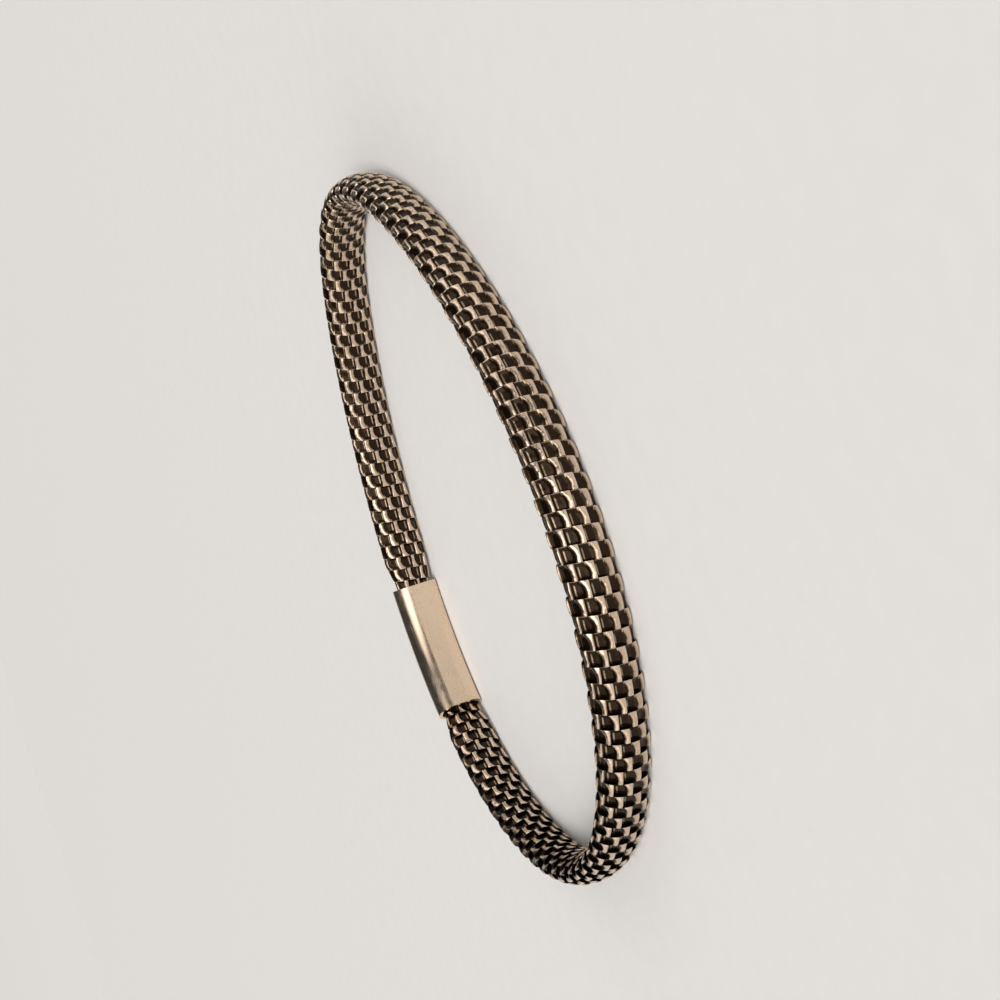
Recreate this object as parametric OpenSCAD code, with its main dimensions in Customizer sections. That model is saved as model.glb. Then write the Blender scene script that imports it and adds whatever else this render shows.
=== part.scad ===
// A mesh tube bracelet, lying on its side as it rests on a table.
// One thin gold ribbon with a wave pressed into it is wound into a long hollow oval tube.
// Each turn is set half a wave on from the last, so that ridges and dips make a chequer.
// The tube is bent into an egg-shaped loop, as it is when worn, and its two ends go into one
// plain clasp at the back.
// The loop lies in the X-Y plane, its axis is +Z, and the lowest point is at Z = 0.

/* [Loop] */
// Width of the loop's opening, from side to side (mm)
opening_w = 62; // [50:0.2:80]
// Depth of the loop's opening, from front to back (mm)
opening_d = 51.8; // [42:0.2:70]
// How far the middle of the front and of the back lie off the middle of the two sides (mm)
egg = 5; // [0:0.25:7]
// How much the front and the back are drawn out into a rounder point (mm)
peak = 0.65; // [0:0.05:1.2]

/* [Mesh tube] */
// Width of the tube along the loop's axis, over the ridges (mm)
tube_w = 4.7; // [4:0.1:6]
// Thickness of the tube from inside the loop to outside, over the ridges (mm)
tube_t = 3; // [2.8:0.1:4.5]
// Pitch of the ribbon's turns along the tube (mm)
turn_pitch = 1.3; // [1.2:0.05:2]
// Ridges and dips of the ribbon in one turn, an odd number so that they alternate
half_waves = 15; // [13:2:19]
// How far the dips lie below the ridges (mm)
dip_depth = 0.35; // [0.2:0.05:0.4]
// Metal between the dips and the tube's hollow core (mm)
tube_wall = 0.3; // [0.2:0.05:0.35]

/* [Clasp] */
// Length of the clasp round the loop (mm)
clasp_l = 14; // [10:0.5:18]
// Metal of the clasp round its two sockets (mm)
clasp_wall = 0.35; // [0.25:0.05:0.45]
// Depth of each socket (mm)
socket_depth = 3; // [2:0.25:4]
// Gap between the mesh and its socket, all round and at the end (mm)
socket_gap = 0.1; // [0.05:0.01:0.15]
// Length over which the mesh narrows towards the clasp (mm)
neck_l = 3; // [2:0.25:6]

/* [Hidden] */

gold = [0.83, 0.71, 0.50];
polished_gold = [0.88, 0.76, 0.53];

full_turn = 360;
// Straight steps that stand for a closed curve where its length is measured
curve_steps = 360;
// Turns of the ribbon between two rings of the smooth core
core_ring_turns = 2;
// Sides of the circles in the clasp
round_sides = 64;
// How far a cut runs past the face that it opens (mm)
overcut = 1;

// Half of the width and of the depth of the loop's middle line, the depth without its peaks
loop_a = (opening_w + tube_t) / 2;
loop_b = (opening_d + tube_t) / 2 - peak;
// The mesh narrows at its ends by what the clasp's wall and gap take up, so the clasp is flush
neck_shrink = clasp_wall + socket_gap;

// A point of the loop's middle line, and its direction, turned from the back towards +X
function loop_point(turned) =
    [loop_a * sin(turned) - egg * pow(cos(turned), 2), loop_b * cos(turned) + peak * cos(3 * turned)];
function loop_direction(turned) =
    [loop_a * cos(turned) + egg * sin(2 * turned), -loop_b * sin(turned) - 3 * peak * sin(3 * turned)];
// A point of the tube's oval section, [outwards, up], turned from outwards to up
function section_point(w, t, turned) = [t / 2 * cos(turned), w / 2 * sin(turned)];

loop_outline = [for (i = [0:curve_steps]) loop_point(i * full_turn / curve_steps)];
section_outline = [for (i = [0:curve_steps]) section_point(tube_w, tube_t, i * full_turn / curve_steps)];

// Rows of [length along a closed outline, angle turned], one for each straight step
function length_table(outline) =
    [for (i = 0, s = 0;
        i <= curve_steps;
        s = s + (i < curve_steps ? norm(outline[i + 1] - outline[i]) : 0), i = i + 1)
            [s, i * full_turn / curve_steps]];

loop_table = length_table(loop_outline);
loop_l = loop_table[curve_steps][0];
section_table = length_table(section_outline);
section_l = section_table[curve_steps][0];

// The point of the loop's middle line at a length past the clasp's middle, either way
function loop_at(s) = loop_point(lookup(s < 0 ? loop_l + s : s, loop_table));

// The mesh starts and ends a gap short of the two socket floors
tube_start = clasp_l / 2 - socket_depth + socket_gap;
tube_l = loop_l - 2 * tube_start;
turns = floor(tube_l / turn_pitch) - 1;
string_start = (tube_l - turns * turn_pitch) / 2;
last_half_wave = turns * half_waves;
core_rings = ceil(turns / core_ring_turns);

// 0 in the clasp, rising smoothly to 1 where the tube has its full section
function neck_share(s) =
    let (u = (min(s, tube_l - s) - socket_depth) / neck_l, v = min(1, max(0, u)))
    v * v * (3 - 2 * v);

// A point of the tube's surface at length s along the tube and share f of the way round its section,
// outwards to down, sunk below the ridges by drop
function surface_point(s, f, drop) =
    let (
        turned = lookup(tube_start + s, loop_table),
        middle = loop_point(turned),
        along = loop_direction(turned) / norm(loop_direction(turned)),
        inset = 2 * (drop + neck_shrink * (1 - neck_share(s))),
        around = -lookup((f - floor(f)) * section_l, section_table),
        side = section_point(tube_w - inset, tube_t - inset, around)
    )
    [middle.x - along.y * side.x, middle.y + along.x * side.x, tube_w / 2 + side.y];

// Ridges and dips in the order in which the ribbon is wound
function ribbon_points() =
    [for (i = [0:last_half_wave])
        surface_point(string_start + i * turn_pitch / half_waves, i / half_waves, i % 2 == 0 ? 0 : dip_depth)];

// A flat ring of points round the section at length s
function ring_points(s, drop) = [for (c = [0:half_waves - 1]) surface_point(s, c / half_waves, drop)];

function quad(p, q, r, s) = [[p, r, q], [p, s, r]];

// Wound side of the tube: each dip is a four-sided pit between its four neighbouring ridges
function ribbon_faces() =
    [for (i = [0:last_half_wave - half_waves - 1])
        let (p = i, q = i + 1, r = i + half_waves + 1, s = i + half_waves)
        each i % 2 == 0 ? quad(p, q, r, s) : quad(q, r, s, p)];

// Faces between two rings that start at the numbers given
function band_faces(first, second) =
    [for (c = [0:half_waves - 1])
        let (d = (c + 1) % half_waves)
        each quad(first + c, first + d, second + d, second + c)];

module mesh_tube() {
    string_count = last_half_wave + 1;
    near_ring = string_count;
    far_ring = near_ring + half_waves;
    core = far_ring + half_waves;
    last_core = core + core_rings * half_waves;
    last_turn = last_half_wave - half_waves;
    core_drop = dip_depth + tube_wall;
    points = concat(
        ribbon_points(),
        ring_points(0, dip_depth),
        ring_points(tube_l, dip_depth),
        [for (k = [0:core_rings]) each ring_points(tube_l * k / core_rings, core_drop)]
    );
    faces = concat(
        ribbon_faces(),
        // From the flat near end to the first turn, with the step that its start leaves
        [for (c = [0:half_waves - 2]) each quad(near_ring + c, near_ring + c + 1, c + 1, c)],
        quad(near_ring + half_waves - 1, near_ring, half_waves, half_waves - 1),
        [[near_ring, half_waves, 0]],
        // From the last turn to the flat far end, with the step that its end leaves
        [for (c = [1:half_waves - 1])
            each quad(last_turn + c, last_turn + c + 1, far_ring + (c + 1) % half_waves, far_ring + c)],
        quad(last_turn, last_turn + 1, far_ring + 1, far_ring),
        [[last_turn, last_half_wave, far_ring]],
        // The two flat ends and the smooth core, which faces inwards
        band_faces(core, near_ring),
        band_faces(far_ring, last_core),
        [for (k = [0:core_rings - 1]) each band_faces(core + (k + 1) * half_waves, core + k * half_waves)]
    );
    color(gold) polyhedron(points = points, faces = faces, convexity = 10);
}

// A flat shape with two straight sides and two round ends, t wide and w high
module stadium(w, t) {
    r = min(w, t) / 2;
    for (side = [-1, 1])
        translate([side * (t / 2 - r), side * (w / 2 - r)])
            circle(r = r, $fn = round_sides);
    if (w != t)
        square([w > t ? t : t - w, w > t ? w - t : w], center = true);
}

// A bar of that shape round the back of the loop, from one length to another past its middle.
// It is bent to the circle through the loop's middle line at the clasp's middle and two ends.
module back_bar(w, t, from, to) {
    middle = loop_at(0);
    near_end = loop_at(clasp_l / 2);
    far_end = loop_at(-clasp_l / 2);
    chord = near_end - far_end;
    half_chord = norm(chord) / 2;
    rise = cross(chord, middle - far_end) / norm(chord);
    bend = (half_chord * half_chord + rise * rise) / (2 * rise);
    sideways = [-chord.y, chord.x] / norm(chord);
    centre = (near_end + far_end) / 2 - sideways * (bend - rise);
    degrees = full_turn / (2 * PI * bend);
    facing = atan2(sideways.y, sideways.x);
    translate([centre.x, centre.y, tube_w / 2])
        rotate([0, 0, facing - to * degrees])
            rotate_extrude(angle = (to - from) * degrees, $fn = round_sides)
                translate([bend, 0])
                    stadium(w, t);
}

module clasp() {
    half_l = clasp_l / 2;
    socket_w = tube_w - 2 * clasp_wall;
    socket_t = tube_t - 2 * clasp_wall;
    color(polished_gold)
        difference() {
            back_bar(tube_w, tube_t, -half_l, half_l);
            back_bar(socket_w, socket_t, half_l - socket_depth, half_l + overcut);
            back_bar(socket_w, socket_t, -half_l - overcut, socket_depth - half_l);
        }
}

mesh_tube();
clasp();
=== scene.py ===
"""The looks of a mesh tube bracelet: a wound, corrugated gold ribbon and a plain clasp, on a pale floor.

All lengths are in metres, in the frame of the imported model. The loop lies in the X-Y plane.
"""

import math

import bpy
import numpy as np
from mathutils import Matrix, Vector


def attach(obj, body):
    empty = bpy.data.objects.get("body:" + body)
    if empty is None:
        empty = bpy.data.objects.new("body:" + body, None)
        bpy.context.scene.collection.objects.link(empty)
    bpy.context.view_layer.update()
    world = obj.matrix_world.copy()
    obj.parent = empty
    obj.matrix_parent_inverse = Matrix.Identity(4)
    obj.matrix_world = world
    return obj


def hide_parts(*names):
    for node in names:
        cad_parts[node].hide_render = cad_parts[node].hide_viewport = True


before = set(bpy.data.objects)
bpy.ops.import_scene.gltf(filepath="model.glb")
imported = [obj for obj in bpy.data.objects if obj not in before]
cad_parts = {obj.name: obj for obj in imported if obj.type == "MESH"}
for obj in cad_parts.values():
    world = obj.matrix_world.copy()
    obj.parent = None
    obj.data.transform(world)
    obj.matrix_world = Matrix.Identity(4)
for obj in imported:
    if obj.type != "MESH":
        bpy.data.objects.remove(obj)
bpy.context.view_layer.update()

MM = 0.001
FULL_TURN = 2 * math.pi

# The loop's middle line, as in the part's source
OPENING_W = 62 * MM
OPENING_D = 51.8 * MM
EGG = 5 * MM
PEAK = 0.65 * MM
PEAK_LOBES = 3

# The mesh tube, as in the part's source
TUBE_W = 4.7 * MM
TUBE_T = 3 * MM
TURN_PITCH = 1.3 * MM
HALF_WAVES = 15

# The clasp and the tube's necks in it, as in the part's source
CLASP_L = 14 * MM
CLASP_WALL = 0.35 * MM
SOCKET_DEPTH = 3 * MM
SOCKET_GAP = 0.1 * MM
NECK_L = 3 * MM

# How far the ribbon's dips lie below its ridges
DIP_DEPTH = 0.35 * MM
# The ribbon's width over ridges and dips, where it laps the next turn, and at the crossings between
RIBBON_W = 1.5 * MM
RIBBON_W_AT_CROSSING = 1.46 * MM
# How far the one point at the ribbon's back lies below its outer side
RIBBON_CORE_T = 0.24 * MM
# How far the ridges stay inside the tube's outline
CREST_SINK = 0.03 * MM
# How far the ribbon's edges curl up in the dips, so that each dip is a small cup with a rim
EDGE_CURL = 0.31 * MM
# Along one wave: share of its length, of the depth, of the full width, of the flare and of the painted
# glint line
WAVE_OUTLINE = [
    (-0.5, 1, 1, 0.5, 0),
    (-0.36, 0.97, 0.5, 0.75, 0),
    (-0.27, 0.82, 0, 0.9, 0),
    (-0.2, 0.55, 0.3, 1, 0),
    (-0.14, 0.26, 0.8, 1, 0),
    (-0.08, 0.1, 1, 1, 0),
    (0, 0.03, 1, 0.6, 0),
    (0.06, 0.01, 1, 0, 0),
    (0.09, 0.16, 0.6, 0, 0),
    (0.12, 0.66, 0.2, 0, 0),
    (0.16, 0.93, 0, 0, 0),
    (0.22, 1, 0.3, 0, 1),
    (0.3, 1, 0.5, 0.1, 0),
    (0.5, 1, 1, 0.5, 0),
]
# Across the ribbon: share of half its width, drop below the ridge, flare as a share of a wave, curl
ACROSS_OUTLINE = [
    (-0.84, 0.26 * MM, 0.1, 0.4),
    (-0.7, 0.05 * MM, 0.06, 0.1),
    (-0.1, 0, 0, 0),
    (0.4, 0, 0.05, 0),
    (0.86, 0.02 * MM, 0.18, 0.2),
    (1, 0.07 * MM, 0.26, 1),
]
# How near a point has to lie to a corner of the starting circle, whose radius is 1, to be taken
CORNER_MATCH = 1e-4
# Points of two neighbouring waves that lie nearer than this become one
WAVE_JOIN_GAP = 0.005 * MM
# Edges that bend by more than this stay sharp
SHARP_ANGLE = math.radians(50)

# Steps of the tables that turn a length round a closed curve into an angle
CURVE_STEPS = 720

# Colours, in linear light
RIDGE_GOLD = (0.71, 0.57, 0.44, 1)
RIDGE_ROSE_GOLD = (0.74, 0.56, 0.44, 1)
# Painted shade: a darker olive gold that stands in for the shade down the ridges' flanks
FLANK_PAINTED_SHADE = (0.42, 0.31, 0.20, 1)
# Painted shade: the near-black brown that stands in for the shade deep in the dips
DIP_PAINTED_SHADE = (0.019, 0.0095, 0.0035, 1)
CLASP_CLEAN_GOLD = (0.77, 0.62, 0.47, 1)
CLASP_SMUDGED_GOLD = (0.73, 0.56, 0.41, 1)
PLASTER_DARK = (0.62, 0.61, 0.6, 1)
PLASTER_LIGHT = (0.66, 0.65, 0.64, 1)

# Patterns of noise: cells to a metre, and steps of finer detail
GOLD_DRIFT = (120, 3)
# Specks that make the edge of the painted shade uneven and vary the ridges' roughness
SPECKLE_PATTERN = (2500, 4)
RIDGE_DENTS = (950, 3)
CLASP_SMUDGES = (350, 4)
PLASTER_GRAIN = (400, 4)
# The clasp's scratches run along X: their noise, and how much the place that it reads is stretched
CLASP_SCRATCHES = (1, 3)
SCRATCH_STRETCH = (150, 9000, 9000)

# Slopes: where they start and end in what they read, and what they give at the start and at the end
# The painted shade of the flanks comes in with depth
FLANK_SHADE_BY_DEPTH = (0.1, 0.34, 0, 0.8)
# The painted shade of the dips comes in with depth
DIP_SHADE_BY_DEPTH = (0.3, 0.6, 0, 1)
# Painted highlight: a bright gold line near the steep wall's foot in each dip, standing in for the glint
# on the dip's curved floor, fading towards the edges
GLINT_LINE_BY_MARK = (0.2, 0.6, 0, 1)
GLINT_LINE_BY_SIDE = (0.4, 0.7, 0.6, 0)
BRIGHT_RIM_BY_SIDE = (0.9, 0.98, 0, 0.8)
RIDGE_ROUGHNESS_BY_SPECKLE = (0.3, 0.7, 0.15, 0.28)
METAL_BY_DARKNESS = (0, 1, 1, 0.8)
CLASP_ROUGHNESS_BY_HAZE = (0.12, 0.4, 0.12, 0.38)
STUDIO_DARKNESS_BY_HEIGHT = (0, 0.5, 0, 1)

# How much the specks shift the depth at which the painted shade on the flanks and in the dips comes in
SHADE_UNEVENNESS = 0.25
# The bump of the dents and of the scratches: strength and depth
DENT_BUMP = (1, 0.13 * MM)
SCRATCH_BUMP = (0.25, 0.01 * MM)

# The camera, at the photo's angle, with its angles in radians and its lens in millimetres
CAMERA_TARGET = Vector((-6.39, -26.75, 6.9)) * MM
CAMERA_DISTANCE = 130 * MM
CAMERA_AZIMUTH = -0.2643
CAMERA_ELEVATION = 0.2935
CAMERA_ROLL = -1.8681
CAMERA_LENS = 62.97
CAMERA_NEAREST = 1 * MM

# The floor
FLOOR_SIZE = 40
FLOOR_ROUGHNESS = 0.7

# The studio round the floor: dim and dark above, with one pale side at the horizon
STUDIO_DIM = (0.2, 0.195, 0.19, 1)
STUDIO_DARK = (0.05, 0.052, 0.055, 1)
# Patches of light: azimuth, elevation, spread and core in degrees, and colour
PALE_SIDE = (125, 0, 84, 53, (0.735, 0.714, 0.687, 1))
SOFT_LIGHTS = [
    (-85, 12, 42, 8, (1.4, 1.36, 1.3, 1)),
    (-20, 32, 40, 0, (2.7, 2.65, 2.58, 1)),
    (66, 30, 36, 0, (1.5, 1.47, 1.43, 1)),
    (-140, 22, 36, 6, (1.0, 0.97, 0.92, 1)),
]

# The key light, with its angles in degrees
KEY_AZIMUTH = -25
KEY_ELEVATION = 32
KEY_SPREAD = 28
KEY_STRENGTH = 3.45
KEY_COLOUR = (1, 0.98, 0.955)

# Half of the width and of the depth of the loop's middle line, the depth without its peaks
LOOP_A = (OPENING_W + TUBE_T) / 2
LOOP_B = (OPENING_D + TUBE_T) / 2 - PEAK
# How much the tube narrows at its ends, to leave room for the clasp's wall and gap
NECK_SHRINK = CLASP_WALL + SOCKET_GAP


def loop_point(turned):
    """Points of the loop's middle line, turned in radians from the back towards +X."""
    return np.stack([
        LOOP_A * np.sin(turned) - EGG * np.cos(turned) ** 2,
        LOOP_B * np.cos(turned) + PEAK * np.cos(PEAK_LOBES * turned),
    ], axis=-1)


def loop_direction(turned):
    """Unit directions of the loop's middle line."""
    along = np.stack([
        LOOP_A * np.cos(turned) + EGG * np.sin(2 * turned),
        -LOOP_B * np.sin(turned) - PEAK_LOBES * PEAK * np.sin(PEAK_LOBES * turned),
    ], axis=-1)
    return along / np.linalg.norm(along, axis=-1, keepdims=True)


def section_point(width, thickness, turned):
    """Points of an oval section, [outwards, up], turned from outwards to up."""
    return np.stack([thickness / 2 * np.cos(turned), width / 2 * np.sin(turned)], axis=-1)


def lengths_along(outline):
    """The length from the outline's first point to each of its points."""
    steps = np.linalg.norm(np.diff(outline, axis=0), axis=1)
    return np.concatenate([[0], np.cumsum(steps)])


# Lengths along the loop's middle line and round the tube's section, each against the angle turned
CURVE_ANGLES = np.linspace(0, FULL_TURN, CURVE_STEPS + 1)
LOOP_LENGTHS = lengths_along(loop_point(CURVE_ANGLES))
SECTION_LENGTHS = lengths_along(section_point(TUBE_W, TUBE_T, CURVE_ANGLES))
LOOP_L = LOOP_LENGTHS[-1]
SECTION_L = SECTION_LENGTHS[-1]

# Where the tube starts past the clasp's middle, how long it is, its turns, and where the first starts
TUBE_START = CLASP_L / 2 - SOCKET_DEPTH + SOCKET_GAP
TUBE_L = LOOP_L - 2 * TUBE_START
TURNS = math.floor(TUBE_L / TURN_PITCH) - 1
RIBBON_START = (TUBE_L - TURNS * TURN_PITCH) / 2
# The length of one wave of the ribbon, and how many waves are wound
WAVE_L = 2 * SECTION_L / HALF_WAVES
WAVES = TURNS * HALF_WAVES // 2


def eased(share):
    """A share from 0 to 1, eased at both ends."""
    return share * share * (3 - 2 * share)


def surface_points(length, share, drop):
    """Points of the tube at a length along it, a share of a turn round it and a drop below its ridges."""
    turned = np.interp(TUBE_START + length, LOOP_LENGTHS, CURVE_ANGLES)
    middle, along = loop_point(turned), loop_direction(turned)
    full_share = eased(np.clip((np.minimum(length, TUBE_L - length) - SOCKET_DEPTH) / NECK_L, 0, 1))
    inset = 2 * (drop + NECK_SHRINK * (1 - full_share))
    round_angle = -np.interp((share % 1) * SECTION_L, SECTION_LENGTHS, CURVE_ANGLES)
    side = section_point(TUBE_W - inset, TUBE_T - inset, round_angle)
    return np.stack([
        middle[:, 0] - along[:, 1] * side[:, 0],
        middle[:, 1] + along[:, 0] * side[:, 0],
        TUBE_W / 2 + side[:, 1],
    ], axis=-1)


def deselect_all():
    """Nothing is selected, so that the next operator acts on the new mesh alone."""
    bpy.ops.object.select_all(action="DESELECT")


def select_points(piece, wanted):
    """Goes into edit mode with the vertices selected for which wanted(place) is true."""
    bpy.ops.object.mode_set(mode="EDIT")
    bpy.ops.mesh.select_mode(type="VERT")
    bpy.ops.mesh.select_all(action="DESELECT")
    bpy.ops.object.mode_set(mode="OBJECT")
    for point in piece.data.vertices:
        point.select = wanted(point.co)
    bpy.ops.object.mode_set(mode="EDIT")


def apply_modifier(piece, kind, **settings):
    """Adds a modifier with these settings and applies it."""
    modifier = piece.modifiers.new(kind.lower(), kind)
    for name, value in settings.items():
        setattr(modifier, name, value)
    bpy.ops.object.modifier_apply(modifier=modifier.name)


def ribbon_width(share):
    """The ribbon is widest over its ridges and dips, where it laps over and under the next turn."""
    return RIBBON_W_AT_CROSSING + (RIBBON_W - RIBBON_W_AT_CROSSING) * share


def ribbon_section(width):
    """Points [across, out] round the ribbon: its crowned outer side, and one point at its back."""
    outer = [(share * width / 2, -drop) for share, drop, _, _ in ACROSS_OUTLINE]
    return outer + [(0, -RIBBON_CORE_T)]


def model_wave():
    """One wave of the flat ribbon, its ridge in the middle: length on X, width on Y, outwards on Z.

    The ridge leans, with a steep wall and a gentle flank that widens towards the upper edge.
    """
    deselect_all()
    outline = [
        (place * WAVE_L, -drop * DIP_DEPTH, ribbon_width(share))
        for place, drop, share, _, _ in WAVE_OUTLINE
    ]
    x, z, width = outline[0]
    section = ribbon_section(width)
    bpy.ops.mesh.primitive_circle_add(vertices=len(section), radius=1)
    wave = bpy.context.object
    wave.name = "mesh_ribbon"
    ring = [point.co.copy() for point in wave.data.vertices]
    for corner, (across, out) in zip(ring, section):
        select_points(wave, lambda place: (place - corner).length < CORNER_MATCH)
        bpy.ops.transform.translate(value=Vector((x, across, z + out)) - corner)
    bpy.ops.mesh.select_all(action="SELECT")
    for (x0, z0, width0), (x1, z1, width1) in zip(outline, outline[1:]):
        bpy.ops.mesh.extrude_region_move(TRANSFORM_OT_translate={"value": (x1 - x0, 0, z1 - z0)})
        bpy.ops.transform.resize(value=(1, width1 / width0, 1), center_override=(x1, 0, z1))
    bpy.ops.object.mode_set(mode="OBJECT")
    lean_and_curl(wave)
    return wave


def lean_and_curl(wave):
    """Flares the ridge's gentle flank, curls up the edges of the dips and marks how deep each point lies
    and where the painted glint line runs.
    """
    places, drops, _, flare_shares, glint_shares = zip(*WAVE_OUTLINE)
    sides, _, flares, curls = zip(*ACROSS_OUTLINE)
    depths, rubbed = [], []
    for point in wave.data.vertices:
        place, side = point.co.x / WAVE_L, point.co.y / (RIBBON_W / 2)
        point.co.x -= WAVE_L * np.interp(side, sides, flares) * np.interp(place, places, flare_shares)
        point.co.z += EDGE_CURL * np.interp(side, sides, curls) * np.interp(place, places, drops)
        depths.append(np.interp(place, places, drops))
        rubbed.append(np.interp(place, places, glint_shares))
    mark_points(wave, "depth", depths)
    mark_points(wave, "rubbed", rubbed)


def mark_points(piece, name, values):
    """Gives each point of the piece's mesh a number, which its material reads."""
    piece.data.attributes.new(name, "FLOAT", "POINT").data.foreach_set("value", values)


def wind_ribbon():
    """The whole ribbon, its waves wound into the tube and the tube bent round the loop."""
    ribbon = model_wave()
    apply_modifier(
        ribbon, "ARRAY", count=WAVES, use_relative_offset=False, use_constant_offset=True,
        constant_offset_displace=(WAVE_L, 0, 0), use_merge_vertices=True, merge_threshold=WAVE_JOIN_GAP)
    bpy.ops.object.mode_set(mode="EDIT")
    bpy.ops.mesh.select_all(action="SELECT")
    bpy.ops.mesh.fill_holes(sides=0)
    bpy.ops.mesh.normals_make_consistent(inside=False)
    bpy.ops.object.mode_set(mode="OBJECT")
    mesh = ribbon.data
    flat = np.zeros(len(mesh.vertices) * 3)
    mesh.vertices.foreach_get("co", flat)
    flat = flat.reshape(-1, 3)
    turns = flat[:, 0] / SECTION_L
    wound = surface_points(
        RIBBON_START + turns * TURN_PITCH - flat[:, 1], turns, CREST_SINK - flat[:, 2])
    mesh.vertices.foreach_set("co", wound.ravel())
    mark_points(ribbon, "across", np.abs(flat[:, 1]) / (RIBBON_W / 2))
    mesh.update()
    bpy.ops.object.shade_smooth_by_angle(angle=SHARP_ANGLE)
    return ribbon


def set_inputs(tree, made, **inputs):
    """Gives each named input of a node a value, or links it to the output of another node."""
    for name, value in inputs.items():
        socket = made.inputs[int(name[1:]) if name.startswith("_") else name.replace("_", " ")]
        if isinstance(value, bpy.types.NodeSocket):
            tree.links.new(value, socket)
        else:
            socket.default_value = value


def node(tree, kind, settings=None, **inputs):
    """A new shader node with its settings and inputs. An input without a name is _0, _1 and so on."""
    made = tree.nodes.new(kind)
    for name, value in (settings or {}).items():
        setattr(made, name, value)
    set_inputs(tree, made, **inputs)
    return made


def place_on_object(tree):
    """The place on the object, in metres."""
    return node(tree, "ShaderNodeTexCoord").outputs["Object"]


def marked(tree, name):
    """The number that mark_points gave to the mesh's points."""
    return node(tree, "ShaderNodeAttribute", {"attribute_name": name}).outputs["Fac"]


def noise(tree, place, cells, detail):
    """Noise with this many cells to a metre and steps of finer detail."""
    return node(tree, "ShaderNodeTexNoise", Vector=place, Scale=cells, Detail=detail).outputs["Fac"]


def calculate(tree, operation, *numbers, clamp=False):
    """The result of an operation on two or three numbers or outputs."""
    inputs = {f"_{index}": number for index, number in enumerate(numbers)}
    settings = {"operation": operation, "use_clamp": clamp}
    return node(tree, "ShaderNodeMath", settings, **inputs).outputs["Value"]


def slope(tree, value, start, end, low, high, kind="SMOOTHSTEP"):
    """A number that goes from low to high while the value goes from start to end."""
    return node(tree, "ShaderNodeMapRange", {"interpolation_type": kind}, Value=value,
                From_Min=start, From_Max=end, To_Min=low, To_Max=high).outputs["Result"]


def mix(tree, share, first, second):
    """A colour between two. The Mix node's colours are its inputs 6 and 7 and its output 2."""
    return node(tree, "ShaderNodeMix", {"data_type": "RGBA"}, _0=share, _6=first, _7=second).outputs[2]


def bump(tree, height, strength, distance):
    """The surface's normal, tipped by a height."""
    made = node(tree, "ShaderNodeBump", Strength=strength, Distance=distance, Height=height)
    return made.outputs["Normal"]


def new_material(name):
    """A material with an empty node tree but for its shader and output."""
    material = bpy.data.materials.new(name)
    material.use_nodes = True
    tree = material.node_tree
    tree.nodes.clear()
    shader = node(tree, "ShaderNodeBsdfPrincipled")
    node(tree, "ShaderNodeOutputMaterial", Surface=shader.outputs["BSDF"])
    return material, tree, shader


def ribbon_material():
    """Champagne gold with small dents; painted shade on the flanks and in the dips, a painted glint line
    in each dip, and bright rims left clear of the shade.
    """
    material, tree, shader = new_material("mesh_gold")
    place = place_on_object(tree)
    depth = marked(tree, "depth")
    across = marked(tree, "across")
    rubbed = marked(tree, "rubbed")
    drift = noise(tree, place, *GOLD_DRIFT)
    speckle = noise(tree, place, *SPECKLE_PATTERN)
    uneven_depth = calculate(tree, "MULTIPLY_ADD", speckle, SHADE_UNEVENNESS, depth)
    # Painted shade in the dips, darker the deeper the point lies
    painted_dip_shade = slope(tree, uneven_depth, *DIP_SHADE_BY_DEPTH)
    # A painted glint line in each dip, where the painted shade is lifted to show bright gold
    inside = slope(tree, across, *GLINT_LINE_BY_SIDE)
    line = slope(tree, rubbed, *GLINT_LINE_BY_MARK)
    painted_glint = calculate(tree, "MULTIPLY", line, inside)
    rim = slope(tree, across, *BRIGHT_RIM_BY_SIDE)
    glint_and_rim = calculate(tree, "MAXIMUM", painted_glint, rim)
    # The painted shade, lifted along the painted glint line and at the ribbon's edges
    dark = calculate(tree, "SUBTRACT", painted_dip_shade, glint_and_rim, clamp=True)
    gold = mix(tree, drift, RIDGE_GOLD, RIDGE_ROSE_GOLD)
    # Painted shade down the flanks, darker towards the dips
    flank_shade = slope(tree, uneven_depth, *FLANK_SHADE_BY_DEPTH)
    toned = mix(tree, flank_shade, gold, FLANK_PAINTED_SHADE)
    dents = noise(tree, place, *RIDGE_DENTS)
    set_inputs(
        tree, shader,
        Base_Color=mix(tree, dark, toned, DIP_PAINTED_SHADE),
        Roughness=slope(tree, speckle, *RIDGE_ROUGHNESS_BY_SPECKLE, kind="LINEAR"),
        Normal=bump(tree, dents, *DENT_BUMP),
        Metallic=slope(tree, dark, *METAL_BY_DARKNESS, kind="LINEAR"))
    return material


def clasp_material():
    """Polished champagne gold, hazed by smudges and by fine scratches that run round the loop."""
    material, tree, shader = new_material("clasp_gold")
    place = place_on_object(tree)
    stretched = node(tree, "ShaderNodeMapping", Vector=place, Scale=SCRATCH_STRETCH).outputs["Vector"]
    scratches = noise(tree, stretched, *CLASP_SCRATCHES)
    smudges = noise(tree, place, *CLASP_SMUDGES)
    haze = calculate(tree, "MULTIPLY", scratches, smudges)
    set_inputs(
        tree, shader,
        Base_Color=mix(tree, smudges, CLASP_CLEAN_GOLD, CLASP_SMUDGED_GOLD),
        Roughness=slope(tree, haze, *CLASP_ROUGHNESS_BY_HAZE, kind="LINEAR"),
        Normal=bump(tree, scratches, *SCRATCH_BUMP),
        Metallic=1)
    return material


def paint(piece, material):
    """The piece has this material alone."""
    piece.data.materials.clear()
    piece.data.materials.append(material)


def direction_from(azimuth, elevation):
    """The unit direction to a place in the studio: azimuth from -Y towards +X, both in radians."""
    return Vector((
        math.sin(azimuth) * math.cos(elevation),
        -math.cos(azimuth) * math.cos(elevation),
        math.sin(elevation),
    ))


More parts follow.
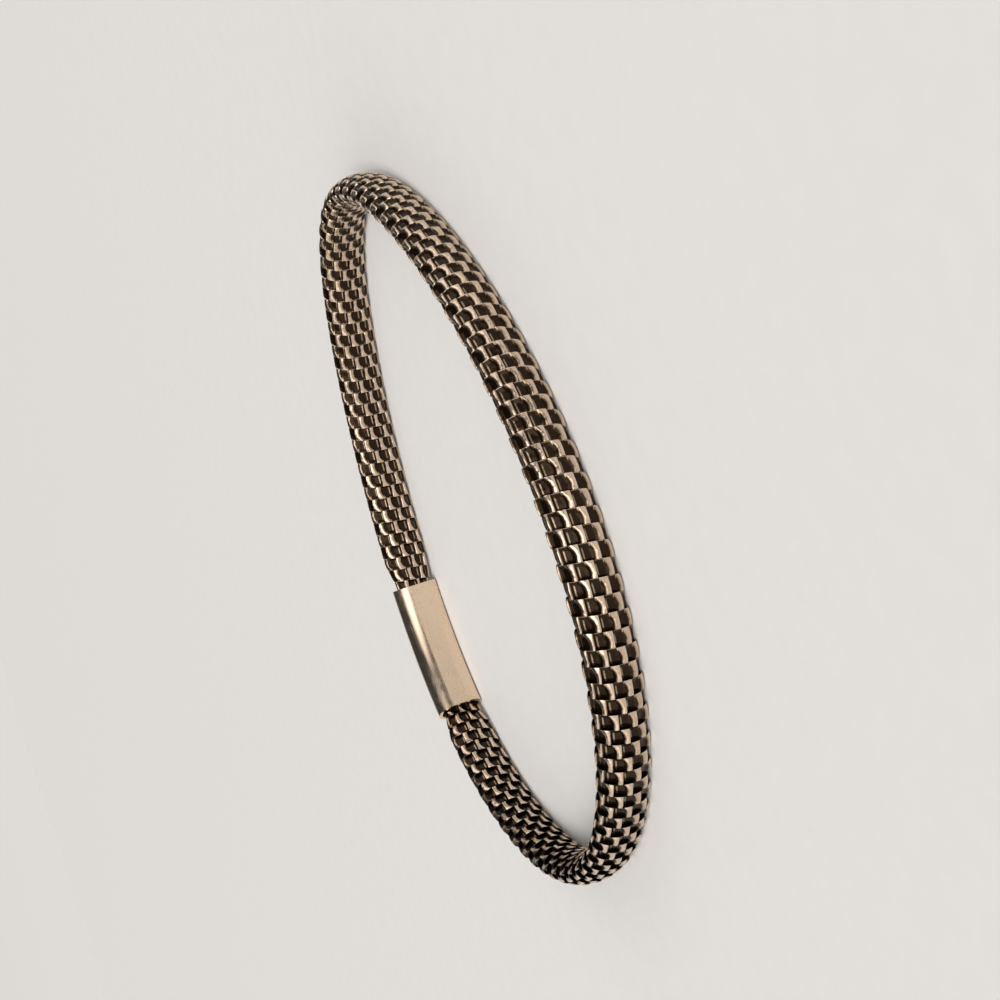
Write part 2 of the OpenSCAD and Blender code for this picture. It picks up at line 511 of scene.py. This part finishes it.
def add_camera():
    """The camera, turned about its line of sight as the photo's was."""
    back = direction_from(CAMERA_AZIMUTH, CAMERA_ELEVATION)
    right = Vector((0, 0, 1)).cross(back).normalized()
    up = back.cross(right)
    turned_right = math.cos(CAMERA_ROLL) * right + math.sin(CAMERA_ROLL) * up
    turned_up = -math.sin(CAMERA_ROLL) * right + math.cos(CAMERA_ROLL) * up
    facing = Matrix((turned_right, turned_up, back)).transposed().to_4x4()
    bpy.ops.object.camera_add()
    camera = bpy.context.object
    camera.matrix_world = Matrix.Translation(CAMERA_TARGET + back * CAMERA_DISTANCE) @ facing
    camera.data.lens = CAMERA_LENS
    camera.data.clip_start = CAMERA_NEAREST
    bpy.context.scene.camera = camera


def add_stage():
    """A wide pale floor of fine plaster."""
    deselect_all()
    bpy.ops.mesh.primitive_plane_add(size=FLOOR_SIZE)
    floor = bpy.context.object
    floor.name = "floor"
    material, tree, shader = new_material("floor")
    grain = noise(tree, place_on_object(tree), *PLASTER_GRAIN)
    set_inputs(tree, shader, Base_Color=mix(tree, grain, PLASTER_DARK, PLASTER_LIGHT),
               Roughness=FLOOR_ROUGHNESS)
    paint(floor, material)


def add_key_light():
    """A soft, distant light beside the camera, which lights the floor and shows in no reflection."""
    deselect_all()
    bpy.ops.object.light_add(type="SUN")
    light = bpy.context.object
    light.name = "key"
    source = direction_from(math.radians(KEY_AZIMUTH), math.radians(KEY_ELEVATION))
    light.rotation_euler = source.to_track_quat("Z", "Y").to_euler()
    light.data.angle = math.radians(KEY_SPREAD)
    light.data.energy = KEY_STRENGTH
    light.data.color = KEY_COLOUR
    light.visible_glossy = False


def add_glow(tree, direction, colour, azimuth, elevation, spread, core, light):
    """The studio's colour with a round patch of light, full inside its core and gone past its spread."""
    middle = direction_from(math.radians(azimuth), math.radians(elevation))
    facing = node(tree, "ShaderNodeVectorMath", {"operation": "DOT_PRODUCT"}, _0=direction, _1=middle)
    edge, full = math.cos(math.radians(spread)), math.cos(math.radians(core))
    share = slope(tree, facing.outputs["Value"], edge, full, 0, 1)
    return mix(tree, share, colour, light)


def add_studio():
    """A studio that is pale at the horizon and dark above, with four soft patches of light."""
    world = bpy.data.worlds.new("studio")
    world.use_nodes = True
    tree = world.node_tree
    direction = node(tree, "ShaderNodeTexCoord").outputs["Generated"]
    height = node(tree, "ShaderNodeSeparateXYZ", Vector=direction).outputs["Z"]
    raised = slope(tree, height, *STUDIO_DARKNESS_BY_HEIGHT)
    horizon = add_glow(tree, direction, STUDIO_DIM, *PALE_SIDE)
    colour = mix(tree, raised, horizon, STUDIO_DARK)
    for soft_light in SOFT_LIGHTS:
        colour = add_glow(tree, direction, colour, *soft_light)
    set_inputs(tree, tree.nodes["Background"], Color=colour)
    bpy.context.scene.world = world
    add_key_light()


add_camera()
ribbon = wind_ribbon()
paint(ribbon, ribbon_material())
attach(ribbon, "root")
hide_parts("mesh_tube")
paint(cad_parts["clasp"], clasp_material())
add_stage()
add_studio()
bpy.context.scene.view_settings.view_transform = "Standard"
